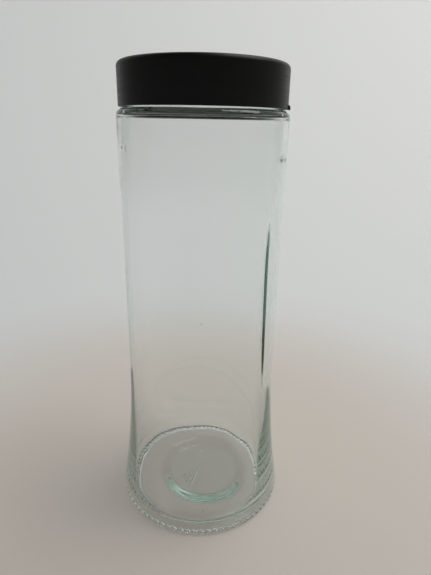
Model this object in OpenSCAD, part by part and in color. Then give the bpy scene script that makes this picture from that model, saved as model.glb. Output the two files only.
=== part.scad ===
// Tall lidded glass canister: a blow-moulded jar with a flared foot, a screw lid and its sealing disc.
// Millimetres. +Z is up; the origin is the centre of the circle that the jar stands on.

/* [Jar outside] */
// Diameter of the shoulder band below the lid
shoulder_d = 100; // [80:0.5:120]
// Height of the flat top of the shoulder
shoulder_h = 264.2; // [200:0.2:320]
// Rounding of the shoulder's outer edge
shoulder_round = 4; // [2:0.25:4.2]
// Height of the shoulder band
band_h = 31.6; // [20:0.2:50]
// Depth of the label panel below the surface of the shoulder band
panel_depth = 0.6; // [0.2:0.1:2]
// Height over which the panel swells into the band
panel_run = 24.8; // [10:0.2:40]
// How far the foot flares out beyond the panel
foot_flare = 8.1; // [4:0.1:12]
// Height at which the flare starts
flare_top = 103; // [50:1:130]

/* [Jar base] */
// Height of the widest point of the foot
heel_h = 4.8; // [3:0.1:8]
// Distance from the foot's widest point in to the middle of the ring that the jar stands on
bearing_inset = 4.4; // [3.5:0.1:8]
// Width of that ring
bearing_w = 3.6; // [1:0.1:4]
// Rounded step from that ring up to the underside
bearing_step = 0.6; // [0.3:0.1:1.5]
// Rise of the hollow ring of the underside above that step
hollow_rise = 3.9; // [1:0.1:5]
// Width of the slope up into the hollow ring
hollow_run = 5; // [3:0.5:12]
// Distance from the foot's widest point in to where the hollow ring starts down to the middle
middle_inset = 21; // [16:0.5:30]
// Width of that slope
middle_run = 13; // [6:0.5:16]
// Fall of the underside from the hollow ring to its middle
middle_drop = 3.9; // [0:0.1:5]
// Height of the floor inside, at its centre
floor_h = 7.4; // [6:0.1:12]
// Crown of the floor inside
floor_crown = 0.8; // [0.3:0.1:1.5]
// Rounding between the floor and the inner wall
inner_heel_round = 2; // [1.5:0.25:6]
// Thickness of the wall at the foot, which it reaches through the flare
foot_wall = 7.4; // [4:0.1:9]

/* [Jar wall and neck] */
// Thickness of the wall at the label panel
wall = 3; // [2:0.1:4]
// Thickness of the glass over the inner shoulder
shoulder_t = 3; // [2:0.1:4.5]
// Width of the shoulder's ledge, from its edge to the neck
ledge = 5.5; // [5:0.1:7]
// Thickness of the neck
neck_t = 3.5; // [2.6:0.1:5]
// Height of the neck from the shoulder's top to the sealing rim
neck_h = 20; // [14:0.2:30]
// Radius in the corner between the shoulder and the neck
neck_root = 1.2; // [0.5:0.1:1.4]
// Rounding of the sealing rim's two edges
rim_round = 1.1; // [0.5:0.1:1.3]

/* [Lid] */
// Room between the neck and the lid's skirt, which the thread takes up
thread_room = 1.95; // [1.6:0.05:2.4]
// Thickness of the lid's skirt
lid_wall = 2.2; // [1.6:0.1:2.4]
// Thickness of the lid's top
lid_top_t = 2.4; // [1.6:0.1:4]
// Rounding of the lid's top edge
lid_round = 2.9; // [1:0.1:3.5]
// Gap between the skirt's lower edge and the shoulder
lid_gap = 0.6; // [0.4:0.1:3]
// Bevel inside the mouth of the lid, which leads it onto the neck
lid_lead_in = 0.9; // [0.3:0.1:1.2]
// How far the bead that keeps the sealing disc in stands out of the skirt
bead_reach = 0.9; // [0.4:0.05:1.2]
// Height of that bead
bead_h = 1.6; // [1:0.1:2.5]

/* [Sealing disc] */
// Thickness of the sealing disc
liner_t = 1.4; // [0.8:0.1:3]
// Clearance round the disc, and between it and the bead
liner_clear = 0.3; // [0.2:0.05:0.6]

/* [Hidden] */
$fn = 120;

jar_color = [0.78, 0.85, 0.82, 0.4];
lid_color = [0.07, 0.07, 0.07];
liner_color = [0.90, 0.90, 0.87];

// Points along one curve: a coarse one has few faces, a long one more
fine = 6;
long = 16;

shoulder_r = shoulder_d / 2;
panel_r = shoulder_r - panel_depth;
inner_r = panel_r - wall;
foot_r = panel_r + foot_flare;
bearing_in = foot_r - bearing_inset - bearing_w / 2;
bearing_out = foot_r - bearing_inset + bearing_w / 2;
neck_r = shoulder_r - ledge;
mouth_r = neck_r - neck_t;
rim_z = shoulder_h + neck_h;

lid_in = neck_r + thread_room;
lid_r = lid_in + lid_wall;
lid_z = shoulder_h + lid_gap;
liner_top = rim_z + liner_t;
lid_top = liner_top + lid_top_t;
bead_top = rim_z - liner_clear;

// Part of an ellipse round c, from angle a to angle b
function arc(c, rx, ry, a, b, n) =
    [for (i = [0 : n]) let (t = a + (b - a) * i / n) c + [rx * cos(t), ry * sin(t)]];

// Height of a shallow dome at distance x from its centre, where it falls by sag at x = edge
function dome_r(edge, sag) = (edge * edge + sag * sag) / (2 * sag);
function dome(x, edge, sag) = sqrt(pow(dome_r(edge, sag), 2) - x * x) - dome_r(edge, sag);

// Smooth step from 0 to 1
function ease(t) = t * t * (3 - 2 * t);

// Underside: thick middle, hollow ring, step down to the bearing ring
hollow_edge = bearing_in - bearing_step;
middle_r = foot_r - middle_inset;
underside = concat(
    [[0, bearing_step + hollow_rise - middle_drop]],
    [for (i = [0 : long]) let (t = i / long)
        [middle_r - middle_run * (1 - t), bearing_step + hollow_rise - middle_drop * (1 - ease(t))]],
    [for (i = [0 : long]) let (t = i / long)
        [hollow_edge - hollow_run * (1 - t), bearing_step + hollow_rise * (1 - ease(t))]],
    arc([hollow_edge, 0], bearing_step, bearing_step, 90, 0, fine));

// Heel: from the bearing ring round to the widest point of the foot
heel = arc([bearing_out, heel_h], foot_r - bearing_out, heel_h, -90, 0, fine);

// Flare: one large arc, tangent to the label panel
flare_r = (pow(flare_top - heel_h, 2) + pow(foot_flare, 2)) / (2 * foot_flare);
function flare_at(z) = panel_r + flare_r - sqrt(pow(flare_r, 2) - pow(flare_top - z, 2));
flare = [for (i = [1 : long]) let (z = heel_h + (flare_top - heel_h) * i / long) [flare_at(z), z]];

// Label panel, swelling into the shoulder band
swell = [for (i = [0 : long]) let (t = i / long)
    [panel_r + panel_depth * ease(t), shoulder_h - band_h - panel_run * (1 - t)]];

// Shoulder, neck and rounded sealing rim
shoulder = concat(
    arc([shoulder_r - shoulder_round, shoulder_h - shoulder_round],
        shoulder_round, shoulder_round, 0, 90, fine),
    arc([neck_r + neck_root, shoulder_h + neck_root], neck_root, neck_root, 270, 180, fine));
rim = concat(
    arc([neck_r - rim_round, rim_z - rim_round], rim_round, rim_round, 0, 90, fine),
    arc([mouth_r + rim_round, rim_z - rim_round], rim_round, rim_round, 90, 180, fine));

// Inner shoulder: an ogee from the bore out to the wall
ogee_w = (inner_r - mouth_r) / 2;
ogee_z = shoulder_h - shoulder_t;
ogee_h = shoulder_t + neck_root;
inner_shoulder = concat(
    arc([mouth_r + ogee_w, ogee_z + ogee_h], ogee_w, ogee_h, 180, 270, fine),
    arc([inner_r - ogee_w, ogee_z - ogee_w], ogee_w, ogee_w, 90, 0, fine));

// Inner wall down the flare, where the glass thickens, then the inner heel and the crowned floor
heel_top = floor_h - floor_crown + inner_heel_round;
function wall_at(z) = wall + (foot_wall - wall) * pow((flare_top - z) / (flare_top - heel_h), 2);
floor_edge = flare_at(heel_top) - wall_at(heel_top) - inner_heel_round;
floor_inside = concat(
    [for (i = [0 : long - 1]) let (z = flare_top + (heel_top - flare_top) * i / long)
        [flare_at(z) - wall_at(z), z]],
    arc([floor_edge, heel_top], inner_heel_round, inner_heel_round, 0, -90, fine),
    [for (i = [1 : fine]) let (x = floor_edge * (1 - i / fine))
        [x, floor_h + dome(x, floor_edge, floor_crown)]]);

module glass_jar() {
    color(jar_color)
        rotate_extrude()
            polygon(concat(underside, heel, flare, swell, shoulder, rim, inner_shoulder, floor_inside));
}

module lid_section() {
    // Outer shell less the hollow that takes the neck and the sealing disc
    difference() {
        polygon(concat(
            [[0, lid_z], [lid_r, lid_z]],
            arc([lid_r - lid_round, lid_top - lid_round], lid_round, lid_round, 0, 90, fine),
            [[0, lid_top]]));
        polygon([[-1, lid_z - 1], [lid_in + lid_lead_in + 1, lid_z - 1],
            [lid_in, lid_z + lid_lead_in], [lid_in, liner_top], [-1, liner_top]]);
    }
    // Bead that the sealing disc snaps past
    polygon([[lid_in + lid_wall / 2, bead_top], [lid_in, bead_top],
        [lid_in - bead_reach, bead_top - bead_h / 3], [lid_in - bead_reach, bead_top - bead_h / 2],
        [lid_in, bead_top - bead_h], [lid_in + lid_wall / 2, bead_top - bead_h]]);
}

module screw_lid() {
    color(lid_color)
        rotate_extrude()
            lid_section();
}

module lid_liner() {
    color(liner_color)
        translate([0, 0, rim_z])
            cylinder(r = lid_in - liner_clear, h = liner_t);
}

glass_jar();
screw_lid();
lid_liner();
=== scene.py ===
# Tall lidded glass canister: the fine form and the finish of its jar, screw lid and sealing disc.
# Each is a turned surface on a grid of section and angle, and its relief is added to whole arrays.
import math

import bpy
import numpy as np
from mathutils import Matrix, Vector


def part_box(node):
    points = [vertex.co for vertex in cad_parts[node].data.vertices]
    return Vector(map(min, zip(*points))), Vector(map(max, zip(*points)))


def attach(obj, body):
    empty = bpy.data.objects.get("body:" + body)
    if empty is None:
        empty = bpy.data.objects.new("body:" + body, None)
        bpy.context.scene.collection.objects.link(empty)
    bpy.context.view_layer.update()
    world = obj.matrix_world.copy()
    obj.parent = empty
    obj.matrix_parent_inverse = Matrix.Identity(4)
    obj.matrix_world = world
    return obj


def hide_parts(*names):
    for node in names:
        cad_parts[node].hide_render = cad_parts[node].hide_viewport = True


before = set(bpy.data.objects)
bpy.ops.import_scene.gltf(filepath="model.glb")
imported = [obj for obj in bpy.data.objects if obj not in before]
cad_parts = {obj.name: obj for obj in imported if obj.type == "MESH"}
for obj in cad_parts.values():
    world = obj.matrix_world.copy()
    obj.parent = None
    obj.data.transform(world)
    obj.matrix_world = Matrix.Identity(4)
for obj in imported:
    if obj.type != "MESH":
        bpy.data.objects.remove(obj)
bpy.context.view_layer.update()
print("frame loaded:", ", ".join(sorted(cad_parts)))

millimetre = 0.001

# heights and radii that the solids settle, in millimetres
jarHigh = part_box("glass_jar")[1]
lidLow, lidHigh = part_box("screw_lid")
linerLow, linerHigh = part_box("lid_liner")
footRadius = jarHigh.x / millimetre
rimHeight = jarHigh.z / millimetre
lidBottom = lidLow.z / millimetre
lidTop = lidHigh.z / millimetre
linerBottom = linerLow.z / millimetre
linerTop = linerHigh.z / millimetre


def smoothStep(t):
    # 0 below 0, 1 above 1, and three t squared less two t cubed between
    t = np.clip(t, 0, 1)
    return t * t * (3 - 2 * t)


def ridgeAcross(distance, width):
    # height of a ridge at a distance from its middle: 1 within half the width, 0 from the whole width on
    return smoothStep(2 - 2 * distance / width)


def ovalArc(centre, radii, fromAngle, toAngle, count):
    # points of an ellipse round centre, angle in degrees from the r axis towards the z axis
    t = np.radians(np.linspace(fromAngle, toAngle, count + 1))
    return np.stack([centre[0] + radii[0] * np.cos(t), centre[1] + radii[1] * np.sin(t)], 1)


def straight(start, end, count):
    # evenly spaced points from start to end, both included
    t = np.linspace(0, 1, count + 1)[:, None]
    return (1 - t) * np.array(start, float) + t * np.array(end, float)


def stepsBetween(stops, counts):
    # numbers that run from each stop to the next in so many even steps
    runs = [np.linspace(a, b, count + 1)[:-1] for a, b, count in zip(stops, stops[1:], counts)]
    return np.concatenate([*runs, stops[-1:]])


def dome(x, edge, sag):
    # height of a ball's cap at distance x from its middle, falling by sag at the edge
    ball = (edge * edge + sag * sag) / (2 * sag)
    return np.sqrt(ball * ball - x * x) - ball


def joinSections(parts):
    # joins named runs of section points, drops doubled ends, and returns the points and each point's name
    points, names = [], []
    for name, run in parts:
        if points and np.allclose(points[-1][-1], run[0], atol=1e-6):
            run = run[1:]
        points.append(run)
        names += [name] * len(run)
    return np.concatenate(points), np.array(names)


def turnedGrid(section, turns):
    # radius and height of the section at evenly spaced angles, one row for each point, and the angles
    angles = np.linspace(0, 2 * np.pi, turns, endpoint=False)[None, :]
    return np.repeat(section[:, :1], turns, 1), np.repeat(section[:, 1:], turns, 1), angles


def turnFrom(angles, degrees):
    # signed turn from a direction given in degrees, at most half a round either way
    return (angles - np.radians(degrees) + np.pi) % (2 * np.pi) - np.pi


def revolve(name, radius, height, angles):
    # closed surface: ring i has radius[i, j] and height[i, j] at angle j, in mm, and the first and last
    # rings shrink to one point each, so they become poles
    rings, turns = radius.shape
    place = np.stack([radius * np.cos(angles), radius * np.sin(angles), height], -1)
    inner = place[1:-1].reshape(-1, 3)
    poles = np.stack([place[0].mean(0), place[-1].mean(0)])
    vertices = np.concatenate([inner, poles]) * millimetre
    first, last = len(inner), len(inner) + 1
    row = np.arange(rings - 3)[:, None] * turns
    here = np.arange(turns)[None, :]
    there = (here + 1) % turns
    quads = np.stack([row + here, row + there, row + turns + there, row + turns + here], -1).reshape(-1, 4)
    lastRow = (rings - 3) * turns
    here, there = here[0], there[0]
    fanIn = np.stack([np.full(turns, first), there, here], -1)
    fanOut = np.stack([np.full(turns, last), lastRow + here, lastRow + there], -1)
    loops = np.concatenate([quads.ravel(), fanIn.ravel(), fanOut.ravel()])
    sizes = np.concatenate([np.full(len(quads), 4), np.full(2 * turns, 3)])
    starts = np.concatenate([[0], np.cumsum(sizes)[:-1]])
    mesh = bpy.data.meshes.new(name)
    mesh.vertices.add(len(vertices))
    mesh.vertices.foreach_set("co", vertices.ravel())
    mesh.loops.add(len(loops))
    mesh.loops.foreach_set("vertex_index", loops.astype(np.int32))
    mesh.polygons.add(len(sizes))
    mesh.polygons.foreach_set("loop_start", starts.astype(np.int32))
    mesh.polygons.foreach_set("use_smooth", np.ones(len(sizes), bool))
    mesh.update(calc_edges=True)
    mesh.validate()
    piece = bpy.data.objects.new(name, mesh)
    bpy.context.scene.collection.objects.link(piece)
    return piece


# one thread for neck and lid, in millimetres above the table
thread = {
    "start": 271.2,
    "pitch": 5.08,
    "rounds": 1.12,
    "halfWidth": 1.3,
    # above 1 the crest is flat and the flanks are steeper
    "steepness": 1.3,
    # turn over which each end runs out, in radians
    "runOut": 0.35,
}


def threadRidge(angles, height, shift=0.0):
    # a ridge that climbs a pitch in each round: the smooth step of how near its middle is, times the smooth
    # steps in which it runs out at both ends
    s = thread
    ridge = np.zeros(np.broadcast(angles, height).shape)
    end = s["rounds"] * 2 * np.pi
    for turn in range(math.ceil(s["rounds"])):
        run = angles + 2 * np.pi * turn
        middle = s["start"] + shift + s["pitch"] * run / (2 * np.pi)
        nearness = 1 - np.abs(height - middle) / s["halfWidth"]
        fade = smoothStep(run / s["runOut"]) * smoothStep((end - run) / s["runOut"])
        ridge = np.maximum(ridge, smoothStep(nearness * s["steepness"]) * fade)
    return ridge


# millimetres, heights above the table, and angles in degrees from +X
jar = {
    "turns": 444,
    "shoulderRadius": 50.0,
    "shoulderTop": 264.2,
    "shoulderRound": 4.0,
    "bandHeight": 31.6,
    "panelDepth": 0.6,
    "panelRun": 24.8,
    "flareTop": 103.0,
    "heelHeight": 4.8,
    "bearingInset": 4.4,
    "bearingWidth": 3.6,
    "bearingStep": 0.6,
    # hollow ring of the underside, and the thick middle inside it, which blowing left off centre
    "hollowRise": 3.9,
    "hollowRun": 5.0,
    "middleRadius": 36.5,
    "middleRun": 13.0,
    "middleDrop": 3.9,
    "middleOffset": 4.0,
    "floorHeight": 7.4,
    "floorCrown": 0.8,
    "innerHeelRound": 2.0,
    "wall": 3.0,
    "footWall": 7.4,
    "shoulderThickness": 3.0,
    "ledge": 5.5,
    "neckThickness": 3.5,
    "neckRoot": 1.2,
    "threadReach": 1.0,
    "rimRound": 1.1,
    # raised bars on the standing ring and on the slope inside it, the radii where they fade in and out, and
    # the valley between two of them as shares of their spacing: half its floor, and each side
    "barCount": 74,
    "barDepth": 0.55,
    "barInner": 49.2,
    "barFadeIn": 1.5,
    "barOuter": 55.2,
    "barFadeOut": 1.0,
    "valleyFloor": 0.15,
    "valleySide": 0.25,
    # marks of the base mould, raised on the underside: the ends of each plain bar, and one plain ring
    "markBars": [
        ((-11.8, -11.5), (-10.9, -5.5)),
        ((-9.7, -13.2), (-7.5, -3.0)),
        ((-8.0, -14.0), (-5.4, -3.0)),
        ((-6.1, -17.5), (-1.9, 0.4)),
    ],
    "markRing": (1.9, 19.8),
    "markRingRadius": 1.7,
    "markWidth": 0.9,
    "markRise": 0.5,
    # radius of the zone with finer rows that holds the marks
    "markZone": 24.0,
    # short upright ticks of the body mould on the band, angle and height of each, and the top of their zone
    "ticks": [
        (-153.0, 243.6),
        (-147.5, 243.2),
        (-30.5, 238.4),
        (-27.0, 238.2),
        (-23.5, 238.0),
        (-20.5, 237.8),
    ],
    "tickTop": 246.5,
    "tickWidth": 0.8,
    "tickLength": 2.6,
    "tickFade": 0.8,
    "tickRise": 0.25,
    # slow unevenness of the blown inner wall: its size, the height in which its waves drift by about a
    # radian, its share below and where that ends, and where it fades near the shoulder and the floor's middle
    "wallWave": 0.30,
    "waveDrift": 100.0,
    "lowWave": 0.3,
    "lowWaveUntil": 15.0,
    "lowWaveRun": 80.0,
    "evenTop": 12.0,
    "evenRun": 30.0,
    "evenFloor": 25.0,
    # upright thick streak of the inner wall: its place and size, its lean sideways for each millimetre up
    # from its middle, and the heights between which it stands
    "streakAngle": -33.5,
    "streakWidth": 3.4,
    "streakRise": 1.35,
    "streakLean": 0.03,
    "streakMiddle": 150.0,
    "streakFrom": 100.0,
    "streakTo": 205.0,
    "streakFade": 30.0,
    # shift of the inside towards -X, at the shoulder and at the floor, and the heights between which it grows
    "highShift": 0.9,
    "lowShift": 1.6,
    "shiftTop": 150.0,
    "shiftRun": 140.0,
}


def jarSection():
    # outside from the middle of the underside up to the rim, then the inside down to the middle of the floor
    s = jar
    shoulder = s["shoulderRadius"]
    panel = shoulder - s["panelDepth"]
    inner = panel - s["wall"]
    neck = shoulder - s["ledge"]
    mouth = neck - s["neckThickness"]
    top, rounding, root = s["shoulderTop"], s["shoulderRound"], s["neckRoot"]
    rimEdge, rimRound = rimHeight - s["rimRound"], s["rimRound"]
    bearingIn = footRadius - s["bearingInset"] - s["bearingWidth"] / 2
    bearingOut = bearingIn + s["bearingWidth"]
    heelHeight = s["heelHeight"]
    # the underside falls from the hollow ring to the step by a smooth step over hollowRun
    hollowEdge = bearingIn - s["bearingStep"]
    across = stepsBetween([0, s["markZone"], hollowEdge - s["hollowRun"], hollowEdge], [30, 23, 10])
    hollow = s["bearingStep"] + s["hollowRise"] * smoothStep((hollowEdge - across) / s["hollowRun"])
    # the flare is an arc that leaves the panel upright and passes through the foot's edge at the heel
    flareHeight, flareWidth = s["flareTop"] - heelHeight, footRadius - panel
    flareRadius = (flareHeight ** 2 + flareWidth ** 2) / (2 * flareWidth)
    flare = np.linspace(heelHeight, s["flareTop"], 13)
    flareOut = panel + flareRadius - np.sqrt(flareRadius ** 2 - (s["flareTop"] - flare) ** 2)
    # the panel swells to the band by a smooth step
    swell = np.linspace(0, 1, 9)
    swellTop = top - s["bandHeight"]
    swellBottom = swellTop - s["panelRun"]
    swellOut = panel + s["panelDepth"] * smoothStep(swell)
    # inside, the same arc less a wall that grows with the square of the way down
    heel = s["innerHeelRound"]
    heelTop = s["floorHeight"] - s["floorCrown"] + heel
    flareDown = np.linspace(s["flareTop"], heelTop, 11)
    thickening = ((s["flareTop"] - flareDown) / flareHeight) ** 2
    flareIn = (panel + flareRadius - np.sqrt(flareRadius ** 2 - (s["flareTop"] - flareDown) ** 2)
               - s["wall"] - (s["footWall"] - s["wall"]) * thickening)
    floorEdge = flareIn[-1] - heel
    floorLine = np.linspace(floorEdge, 0, 22)
    floorUp = s["floorHeight"] + dome(floorLine, floorEdge, s["floorCrown"])
    # the inner shoulder is two quarter ovals that meet halfway between the bore and the wall
    half = (inner - mouth) / 2
    ogeeBottom = top - s["shoulderThickness"]
    ogeeHeight = s["shoulderThickness"] + root
    return joinSections([
        ("underside", np.stack([across, hollow], 1)),
        ("step", ovalArc((hollowEdge, 0), (s["bearingStep"], s["bearingStep"]), 90, 0, 4)),
        ("bearing", straight((bearingIn, 0), (bearingOut, 0), 4)),
        ("heel", ovalArc((bearingOut, heelHeight), (footRadius - bearingOut, heelHeight), -90, 0, 6)),
        ("flare", np.stack([flareOut, flare], 1)),
        ("panel", straight((panel, s["flareTop"]), (panel, swellBottom), 3)),
        ("panel", np.stack([swellOut, swellBottom + s["panelRun"] * swell], 1)),
        ("band", straight((shoulder, swellTop), (shoulder, s["tickTop"]), 10)),
        ("band", straight((shoulder, s["tickTop"]), (shoulder, top - rounding), 2)),
        ("shoulder", ovalArc((shoulder - rounding, top - rounding), (rounding, rounding), 0, 90, 6)),
        ("shoulder", ovalArc((neck + root, top + root), (root, root), 270, 180, 3)),
        ("neck", straight((neck, top + root), (neck, rimEdge), 28)),
        ("rim", ovalArc((neck - rimRound, rimEdge), (rimRound, rimRound), 0, 90, 4)),
        ("rim", ovalArc((mouth + rimRound, rimEdge), (rimRound, rimRound), 90, 180, 4)),
        ("bore", straight((mouth, rimEdge), (mouth, ogeeBottom + ogeeHeight), 2)),
        ("inner", ovalArc((mouth + half, ogeeBottom + ogeeHeight), (half, ogeeHeight), 180, 270, 5)),
        ("inner", ovalArc((inner - half, ogeeBottom - half), (half, half), 90, 0, 5)),
        ("wall", straight((inner, ogeeBottom - half), (inner, s["flareTop"]), 12)),
        ("wall", np.stack([flareIn, flareDown], 1)),
        ("wall", ovalArc((floorEdge, heelTop), (heel, heel), 0, -90, 6)),
        ("floor", np.stack([floorLine, floorUp], 1)),
    ])


def undersideRelief(x, y):
    # drop of the underside: a smooth step towards its thick middle, and the ridges of the bars and the ring
    s = jar
    fromMiddle = np.hypot(x - s["middleOffset"], y)
    drop = s["middleDrop"] * smoothStep((s["middleRadius"] - fromMiddle) / s["middleRun"])
    for start, end in s["markBars"]:
        run = np.subtract(end, start)
        length = np.hypot(*run)
        along = ((x - start[0]) * run[0] + (y - start[1]) * run[1]) / length
        aside = np.abs((y - start[1]) * run[0] - (x - start[0]) * run[1]) / length
        ends = smoothStep(along / s["markWidth"] + 0.5) * smoothStep((length - along) / s["markWidth"] + 0.5)
        drop += s["markRise"] * ridgeAcross(aside, s["markWidth"]) * ends
    fromRing = np.abs(np.hypot(x - s["markRing"][0], y - s["markRing"][1]) - s["markRingRadius"])
    return drop + s["markRise"] * ridgeAcross(fromRing, s["markWidth"])


def wallUnevenness(angles, height):
    # a sum of slow sines in angle whose phase drifts with height, as glass spreads when it is blown
    drift = height / jar["waveDrift"]
    wave = 0.55 * np.sin(2 * angles + 0.7 + 0.5 * drift)
    wave += 0.45 * np.sin(5 * angles + 2.1 - 0.8 * drift)
    wave += 0.25 * np.sin(9 * angles + 0.4 + 1.3 * np.sin(drift))
    wave += 0.10 * np.sin(17 * angles + 1.9 + 0.9 * drift)
    return wave


def insideRelief(angles, radius, height):
    # change of the inner wall's radius: its slow waves, less a bell curve across the streak, less the shift
    # times the cosine of the angle, all faded out at the shoulder and at the middle of the floor
    s = jar
    fade = smoothStep((s["shoulderTop"] - s["evenTop"] - height) / s["evenRun"])
    fade = fade * smoothStep(radius / s["evenFloor"])
    calm = s["lowWave"] + (1 - s["lowWave"]) * smoothStep((height - s["lowWaveUntil"]) / s["lowWaveRun"])
    waves = s["wallWave"] * wallUnevenness(angles, height) * calm
    aside = turnFrom(angles, s["streakAngle"]) * s["shoulderRadius"]
    aside = aside + s["streakLean"] * (height - s["streakMiddle"])
    upright = smoothStep((height - s["streakFrom"]) / s["streakFade"])
    upright = upright * smoothStep((s["streakTo"] - height) / s["streakFade"])
    streak = s["streakRise"] * np.exp(-(aside / s["streakWidth"]) ** 2) * upright
    depth = smoothStep((s["shiftTop"] - height) / s["shiftRun"])
    shift = s["highShift"] + (s["lowShift"] - s["highShift"]) * depth
    return (waves - streak - shift * np.cos(angles)) * fade


def makeJar():
    # the turned section, then for each region its bars, relief, ticks, thread or unevenness
    s = jar
    section, region = jarSection()
    radius, height, angles = turnedGrid(section, s["turns"])
    ring = np.isin(region, ("underside", "step", "bearing"))
    spacing = (angles * s["barCount"] / (2 * np.pi)) % 1
    valley = 1 - smoothStep((np.abs(spacing - 0.5) - s["valleyFloor"]) / s["valleySide"])
    reach = smoothStep((radius[ring] - s["barInner"]) / s["barFadeIn"])
    reach = reach * smoothStep((s["barOuter"] - radius[ring]) / s["barFadeOut"])
    height[ring] += s["barDepth"] * valley * reach
    under = region == "underside"
    height[under] -= undersideRelief(radius[under] * np.cos(angles), radius[under] * np.sin(angles))
    band = region == "band"
    for angle, level in s["ticks"]:
        aside = np.abs(turnFrom(angles, angle)) * s["shoulderRadius"]
        end = smoothStep((s["tickLength"] / 2 - np.abs(height[band] - level)) / s["tickFade"])
        radius[band] += s["tickRise"] * ridgeAcross(aside, s["tickWidth"]) * end
    neck = region == "neck"
    radius[neck] += s["threadReach"] * threadRidge(angles, height[neck])
    inside = np.isin(region, ("wall", "floor"))
    radius[inside] += insideRelief(angles, radius[inside], height[inside])
    return revolve("glassJar", radius, height, angles)


glassJar = makeJar()
print("jar:", len(glassJar.data.polygons), "faces")


# millimetres, and degrees from +X
lid = {
    "turns": 480,
    "skirt": 2.2,
    "topRound": 2.9,
    "edgeRound": 0.3,
    "leadIn": 0.9,
    "threadReach": 0.8,
    # bead that keeps the sealing disc in
    "beadReach": 0.9,
    "beadHeight": 1.6,
    "linerClear": 0.3,
    # leftover nib of the moulding, a small round blob at the lower edge, in a zone with finer rows
    "nibAngle": -14.0,
    "nibHeight": 0.9,
    "nibRadius": 1.5,
    "nibReach": 1.3,
    "nibDrop": 0.6,
    "nibZone": 3.0,
}


def makeLid():
    # the turned section from the middle of the top, down the side, and up inside to the disc's seat
    s = lid
    outer = lidHigh.x / millimetre
    inner = outer - s["skirt"]
    edge, top, lead = s["edgeRound"], s["topRound"], s["leadIn"]
    fineTop = lidBottom + s["nibZone"]
    bead = inner - s["beadReach"]
    beadTop = linerBottom - s["linerClear"]
    beadBottom = beadTop - s["beadHeight"]
    crestBottom, crestTop = beadTop - s["beadHeight"] / 2, beadTop - s["beadHeight"] / 3
    section, region = joinSections([
        ("top", straight((0, lidTop), (outer - top, lidTop), 10)),
        ("top", ovalArc((outer - top, lidTop - top), (top, top), 90, 0, 10)),
        ("side", straight((outer, lidTop - top), (outer, fineTop), 10)),
        ("side", straight((outer, fineTop), (outer, lidBottom + edge), 10)),
        ("side", ovalArc((outer - edge, lidBottom + edge), (edge, edge), 0, -90, 4)),
        ("mouth", straight((outer - edge, lidBottom), (inner + lead, lidBottom), 2)),
        ("mouth", straight((inner + lead, lidBottom), (inner, lidBottom + lead), 2)),
        ("skirt", straight((inner, lidBottom + lead), (inner, beadBottom), 40)),
        ("bead", straight((inner, beadBottom), (bead, crestBottom), 3)),
        ("bead", straight((bead, crestBottom), (bead, crestTop), 1)),
        ("bead", straight((bead, crestTop), (inner, beadTop), 3)),
        ("seat", straight((inner, beadTop), (inner, linerTop), 2)),
        ("seat", straight((inner, linerTop), (0, linerTop), 8)),
    ])
    radius, height, angles = turnedGrid(section, s["turns"])
    skirt = region == "skirt"
    radius[skirt] -= s["threadReach"] * threadRidge(angles, height[skirt], -thread["pitch"] / 2)
    # the nib is half a ball: the root of 1 less the squared distance from its middle over its squared radius
    aside = turnFrom(angles, s["nibAngle"]) * outer
    side = region == "side"
    above = height[side] - lidBottom - s["nibHeight"]
    ball = np.sqrt(np.clip(1 - (aside ** 2 + above ** 2) / s["nibRadius"] ** 2, 0, 1))
    radius[side] += s["nibReach"] * ball
    height[side] -= s["nibDrop"] * ball * (above < 0)
    return revolve("screwLid", radius, height, angles)


screwLid = makeLid()
print("lid:", len(screwLid.data.polygons), "faces")


# millimetres
liner = {
    "turns": 240,
    "edgeRound": 0.25,
}


def makeLiner():
    # a flat disc with a small quarter round at each edge
    s = liner
    outer = linerHigh.x / millimetre
    edge = s["edgeRound"]
    section = joinSections([
        ("under", straight((0, linerBottom), (outer - edge, linerBottom), 24)),
        ("edge", ovalArc((outer - edge, linerBottom + edge), (edge, edge), -90, 0, 3)),
        ("edge", straight((outer, linerBottom + edge), (outer, linerTop - edge), 1)),
        ("edge", ovalArc((outer - edge, linerTop - edge), (edge, edge), 0, 90, 3)),
        ("over", straight((outer - edge, linerTop), (0, linerTop), 6)),
    ])[0]
    return revolve("sealingDisc", *turnedGrid(section, s["turns"]))


sealingDisc = makeLiner()
print("disc:", len(sealingDisc.data.polygons), "faces")


def linearColor(text):
    # sRGB hex to linear red, green, blue and an alpha of 1
    parts = [int(text[i:i + 2], 16) / 255 for i in (1, 3, 5)]
    return (*[c / 12.92 if c <= 0.04045 else ((c + 0.055) / 1.055) ** 2.4 for c in parts], 1)


def perMetre(size):
    # pattern scale that gives a size in millimetres on Object coordinates, which are in metres
    return 1 / (size * millimetre)


def newMaterial(name):
    # an empty material with nodes, its tree and its shader
    material = bpy.data.materials.new(name)
    material.use_nodes = True
    tree = material.node_tree
    shader = tree.nodes["Principled BSDF"]
    return material, tree, shader


def addNode(tree, kind, settings=(), links=()):
    # adds a node, sets its attributes or sockets, and links (socket, source) pairs into it
    # a Mix node of colours takes them at sockets 6 and 7 and gives its result at output 2
    node = tree.nodes.new(kind)
    for key, value in dict(settings).items():
        if isinstance(key, str) and hasattr(node, key):
            setattr(node, key, value)
        else:
            node.inputs[key].default_value = value
    for key, source in links:
        tree.links.new(source, node.inputs[key])
    return node


glass = {
    "ior": 1.52,
    # about the tint of white light after 1000 / density millimetres of glass
    "bodyColor": "#d9e8e2",
    "density": 34.0,
    # millimetres: upright flow lines, and seeds with the cells that hold one each
    "flowSpacing": 4.0,
    "flowLength": 250.0,
    "flowRelief": 0.04,
    "seedCell": 22.0,
    "seedRadius": 0.27,
    "seedEdge": 0.67,
    "seedRelief": 0.2,
}


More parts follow.
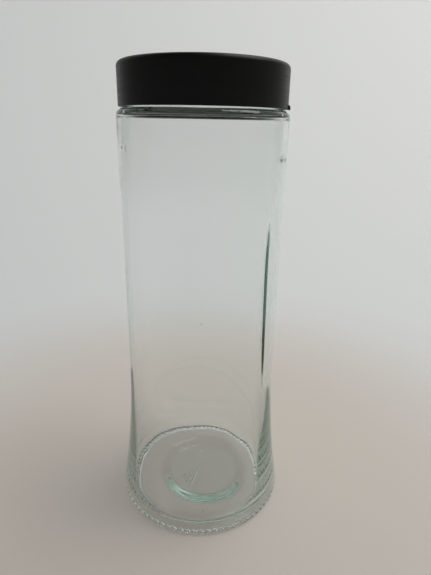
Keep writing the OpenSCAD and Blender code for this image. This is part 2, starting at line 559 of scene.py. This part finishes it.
def sodaLimeGlass():
    # container glass, blown and fire polished: clear with a grey-green body that shows where it is thick
    s = glass
    material, tree, shader = newMaterial("sodaLimeGlass")
    shader.inputs["Base Color"].default_value = (1, 1, 1, 1)
    shader.inputs["Roughness"].default_value = 0.0
    shader.inputs["IOR"].default_value = s["ior"]
    shader.inputs["Transmission Weight"].default_value = 1.0
    place = addNode(tree, "ShaderNodeTexCoord").outputs["Object"]
    aroundScale, upScale = perMetre(s["flowSpacing"]), perMetre(s["flowLength"])
    drawn = addNode(tree, "ShaderNodeMapping", {"Scale": (aroundScale, aroundScale, upScale)},
                    [("Vector", place)])
    flow = addNode(tree, "ShaderNodeTexNoise", {"Scale": 1.0, "Detail": 2.0},
                   [("Vector", drawn.outputs["Vector"])])
    flowBump = addNode(tree, "ShaderNodeBump", {"Strength": 0.5, "Distance": s["flowRelief"] * millimetre},
                       [("Height", flow.outputs["Fac"])])
    cells = addNode(tree, "ShaderNodeTexVoronoi", {"Scale": perMetre(s["seedCell"])},
                    [("Vector", place)])
    seeds = addNode(tree, "ShaderNodeMapRange",
                    {"From Min": s["seedRadius"] / s["seedCell"], "From Max": s["seedEdge"] / s["seedCell"],
                     "To Min": 1.0, "To Max": 0.0, "interpolation_type": "SMOOTHSTEP"},
                    [("Value", cells.outputs["Distance"])])
    seedBump = addNode(tree, "ShaderNodeBump", {"Strength": 1.0, "Distance": s["seedRelief"] * millimetre},
                       [("Height", seeds.outputs["Result"]), ("Normal", flowBump.outputs["Normal"])])
    tree.links.new(seedBump.outputs["Normal"], shader.inputs["Normal"])
    body = addNode(tree, "ShaderNodeVolumeAbsorption",
                   {"Color": linearColor(s["bodyColor"]), "Density": s["density"]})
    tree.links.new(body.outputs[0], tree.nodes["Material Output"].inputs["Volume"])
    return material


plastic = {
    # lower than the usual 1.49, because the fine grain of the skin scatters part of the reflection
    "ior": 1.36,
    "darkColor": "#060606",
    "paleColor": "#0a0a09",
    "smoothest": 0.34,
    "roughest": 0.46,
    # millimetres: faint lines round the skirt, and the skin's grain, coarser than a real one so that it shows
    "lineSpacing": 0.7,
    "lineLength": 170.0,
    "grain": 0.4,
    "grainRelief": 0.1,
}


def blackPolypropylene():
    # injection-moulded polypropylene: near black, with a fine matt skin and faint lines round the skirt
    s = plastic
    material, tree, shader = newMaterial("blackPolypropylene")
    shader.inputs["IOR"].default_value = s["ior"]
    place = addNode(tree, "ShaderNodeTexCoord").outputs["Object"]
    aroundScale, upScale = perMetre(s["lineLength"]), perMetre(s["lineSpacing"])
    lines = addNode(tree, "ShaderNodeMapping", {"Scale": (aroundScale, aroundScale, upScale)},
                    [("Vector", place)])
    lineNoise = addNode(tree, "ShaderNodeTexNoise", {"Scale": 1.0, "Detail": 3.0},
                        [("Vector", lines.outputs["Vector"])])
    tone = addNode(tree, "ShaderNodeMapRange", {"From Min": 0.3, "From Max": 0.75},
                   [("Value", lineNoise.outputs["Fac"])])
    color = addNode(tree, "ShaderNodeMix",
                    {"data_type": "RGBA", 6: linearColor(s["darkColor"]), 7: linearColor(s["paleColor"])},
                    [("Factor", tone.outputs["Result"])])
    tree.links.new(color.outputs[2], shader.inputs["Base Color"])
    rough = addNode(tree, "ShaderNodeMapRange",
                    {"From Min": 0.3, "From Max": 0.7, "To Min": s["smoothest"], "To Max": s["roughest"]},
                    [("Value", lineNoise.outputs["Fac"])])
    tree.links.new(rough.outputs["Result"], shader.inputs["Roughness"])
    grain = addNode(tree, "ShaderNodeTexNoise", {"Scale": perMetre(s["grain"]), "Detail": 2.0},
                    [("Vector", place)])
    bump = addNode(tree, "ShaderNodeBump", {"Strength": 0.25, "Distance": s["grainRelief"] * millimetre},
                   [("Height", grain.outputs["Fac"])])
    tree.links.new(bump.outputs["Normal"], shader.inputs["Normal"])
    return material


foam = {
    "cellColor": "#b9b8b2",
    "skinColor": "#e9e8e2",
    "roughness": 0.55,
    # width of a cell in millimetres
    "cell": 0.55,
}


def polyethyleneFoam():
    # closed-cell foam sheet: off-white, satin, with fine cells
    s = foam
    material, tree, shader = newMaterial("polyethyleneFoam")
    shader.inputs["Roughness"].default_value = s["roughness"]
    place = addNode(tree, "ShaderNodeTexCoord").outputs["Object"]
    cells = addNode(tree, "ShaderNodeTexVoronoi", {"Scale": perMetre(s["cell"])},
                    [("Vector", place)])
    tone = addNode(tree, "ShaderNodeMapRange",
                   {"From Min": 0.0, "From Max": 0.8, "To Min": 0.4, "To Max": 1.0},
                   [("Value", cells.outputs["Distance"])])
    color = addNode(tree, "ShaderNodeMix",
                    {"data_type": "RGBA", 6: linearColor(s["cellColor"]), 7: linearColor(s["skinColor"])},
                    [("Factor", tone.outputs["Result"])])
    tree.links.new(color.outputs[2], shader.inputs["Base Color"])
    return material


glassJar.data.materials.append(sodaLimeGlass())
screwLid.data.materials.append(blackPolypropylene())
sealingDisc.data.materials.append(polyethyleneFoam())

for piece, body, node, slot in (
    (glassJar, "jar", "glass_jar", "glass"),
    (screwLid, "lid", "screw_lid", "lid"),
    (sealingDisc, "liner", "lid_liner", "liner"),
):
    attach(piece, body)
    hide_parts(node)
print("materials and bodies set")


studio = {
    # millimetres: a round floor that sweeps up into a wall
    "floorRadius": 1700.0,
    "cornerRadius": 1350.0,
    "wallHeight": 2500.0,
    "turns": 96,
    "wallColor": "#d4d6d6",
    # painted shade for the sides and front of the sweep, where less light falls
    "paintedShadeColor": "#80807f",
    "floorColor": "#cac3bb",
    # distances between which the floor's tone changes to the wall's, in metres
    "floorUntil": 0.13,
    "wallFrom": 0.42,
    # degrees from straight behind between which the far wall fades to a painted shade at the sides, standing
    # in for less light falling there, and metres over which it sets in
    "paleUntil": 35.0,
    "paintedShadeFrom": 68.0,
    "nearUntil": 0.6,
    "farFrom": 1.3,
    # share of light that shines through the paper from behind, as on a light table
    "glow": 0.33,
    "worldColor": "#c8cac8",
    "worldStrength": 0.12,
    # name, size in metres, place, target, power in watts, colour
    "lights": [
        ("backWash", 1.8, (1.2, 0.4, 2.0), (1.1, 1.5, 0.6), 29.0, "#fffcf9"),
    ],
    # light is reflected many times inside the thick glass of the base before it leaves again
    "bounces": 32,
}


def makeSweep():
    # an open turned surface: flat floor, a quarter round up, and a straight wall
    s = studio
    corner, wall = s["cornerRadius"], s["floorRadius"]
    section = joinSections([
        ("floor", straight((0, 0), (wall - corner, 0), 12)),
        ("corner", ovalArc((wall - corner, corner), (corner, corner), -90, 0, 12)),
        ("wall", straight((wall, corner), (wall, s["wallHeight"]), 4)),
    ])[0]
    radius, height, angles = turnedGrid(section, s["turns"])
    rings, turns = radius.shape
    place = np.stack([radius * np.cos(angles), radius * np.sin(angles), height], -1)
    vertices = place.reshape(-1, 3) * millimetre
    row = np.arange(rings - 1)[:, None] * turns
    here = np.arange(turns)[None, :]
    there = (here + 1) % turns
    quads = np.stack([row + here, row + turns + here, row + turns + there, row + there], -1).reshape(-1, 4)
    mesh = bpy.data.meshes.new("studioSweep")
    mesh.from_pydata(vertices.tolist(), [], quads.tolist())
    mesh.polygons.foreach_set("use_smooth", np.ones(len(quads), bool))
    sweep = bpy.data.objects.new("studioSweep", mesh)
    bpy.context.scene.collection.objects.link(sweep)
    return sweep


def mattePaper():
    # matt backdrop paper that also glows in its own tone: a floor tone round the canister, a paler tone
    # beyond, and a painted shade far off at the sides
    s = studio
    wallTone = linearColor(s["wallColor"])
    material, tree, shader = newMaterial("mattePaper")
    shader.inputs["Roughness"].default_value = 0.9
    shader.inputs["Specular IOR Level"].default_value = 0.2
    place = addNode(tree, "ShaderNodeTexCoord").outputs["Object"]
    away = addNode(tree, "ShaderNodeVectorMath", {"operation": "LENGTH"}, [("Vector", place)])
    beyond = addNode(tree, "ShaderNodeMapRange",
                     {"From Min": s["floorUntil"], "From Max": s["wallFrom"],
                      "interpolation_type": "SMOOTHSTEP"}, [("Value", away.outputs["Value"])])
    near = addNode(tree, "ShaderNodeMix", {"data_type": "RGBA", 6: linearColor(s["floorColor"]), 7: wallTone},
                   [("Factor", beyond.outputs["Result"])])
    # the level direction's share along +Y is the cosine of its angle from straight behind
    level = addNode(tree, "ShaderNodeVectorMath", {"operation": "MULTIPLY", 1: (1, 1, 0)},
                    [(0, place)])
    bearing = addNode(tree, "ShaderNodeVectorMath", {"operation": "NORMALIZE"},
                      [(0, level.outputs["Vector"])])
    axes = addNode(tree, "ShaderNodeSeparateXYZ", {}, [("Vector", bearing.outputs["Vector"])])
    behind = addNode(tree, "ShaderNodeMapRange",
                     {"From Min": math.cos(math.radians(s["paintedShadeFrom"])),
                      "From Max": math.cos(math.radians(s["paleUntil"])),
                      "interpolation_type": "SMOOTHSTEP"}, [("Value", axes.outputs["Y"])])
    # painted shade: the far sides and front of the sweep are coloured darker, standing in for less light
    # falling there
    far = addNode(tree, "ShaderNodeMix", {"data_type": "RGBA", 6: linearColor(s["paintedShadeColor"]), 7: wallTone},
                  [("Factor", behind.outputs["Result"])])
    outward = addNode(tree, "ShaderNodeMapRange",
                      {"From Min": s["nearUntil"], "From Max": s["farFrom"],
                       "interpolation_type": "SMOOTHSTEP"}, [("Value", away.outputs["Value"])])
    mixed = addNode(tree, "ShaderNodeMix", {"data_type": "RGBA"},
                    [("Factor", outward.outputs["Result"]), (6, near.outputs[2]), (7, far.outputs[2])])
    tree.links.new(mixed.outputs[2], shader.inputs["Base Color"])
    tree.links.new(mixed.outputs[2], shader.inputs["Emission Color"])
    shader.inputs["Emission Strength"].default_value = s["glow"]
    return material


sweep = makeSweep()
sweep.data.materials.append(mattePaper())

for name, size, place, target, power, color in studio["lights"]:
    lamp = bpy.data.lights.new(name, "AREA")
    lamp.size = size
    lamp.energy = power
    lamp.color = linearColor(color)[:3]
    lampObject = bpy.data.objects.new(name, lamp)
    lampObject.location = place
    aim = Vector(target) - Vector(place)
    lampObject.rotation_euler = aim.to_track_quat("-Z", "Y").to_euler()
    bpy.context.scene.collection.objects.link(lampObject)

world = bpy.data.worlds.new("softRoom")
world.use_nodes = True
sky = world.node_tree.nodes["Background"]
sky.inputs["Color"].default_value = linearColor(studio["worldColor"])
sky.inputs["Strength"].default_value = studio["worldStrength"]
bpy.context.scene.world = world

bpy.context.scene.view_settings.view_transform = "Standard"
bpy.context.scene.cycles.max_bounces = studio["bounces"]
bpy.context.scene.cycles.glossy_bounces = studio["bounces"]
bpy.context.scene.cycles.transmission_bounces = studio["bounces"]
print("studio set")


# lens and sensor in millimetres, distance from the canister's axis and height in metres, angles in degrees
camera = {
    "lens": 28.2,
    "sensor": 36.0,
    "distance": 0.2809,
    "height": 0.2571,
    "pitchDown": 20.08,
    "turnRight": 1.82,
    "roll": 1.09,
}

lens = bpy.data.cameras.new("camera")
lens.lens = camera["lens"]
lens.sensor_width = camera["sensor"]
lens.clip_start = 0.01
lens.clip_end = 50
eye = bpy.data.objects.new("camera", lens)
bpy.context.scene.collection.objects.link(eye)
eye.matrix_world = (
    Matrix.Translation((0, -camera["distance"], camera["height"]))
    @ Matrix.Rotation(math.radians(-camera["turnRight"]), 4, "Z")
    @ Matrix.Rotation(math.radians(90 - camera["pitchDown"]), 4, "X")
    @ Matrix.Rotation(math.radians(camera["roll"]), 4, "Z")
)
bpy.context.scene.camera = eye

print("done")
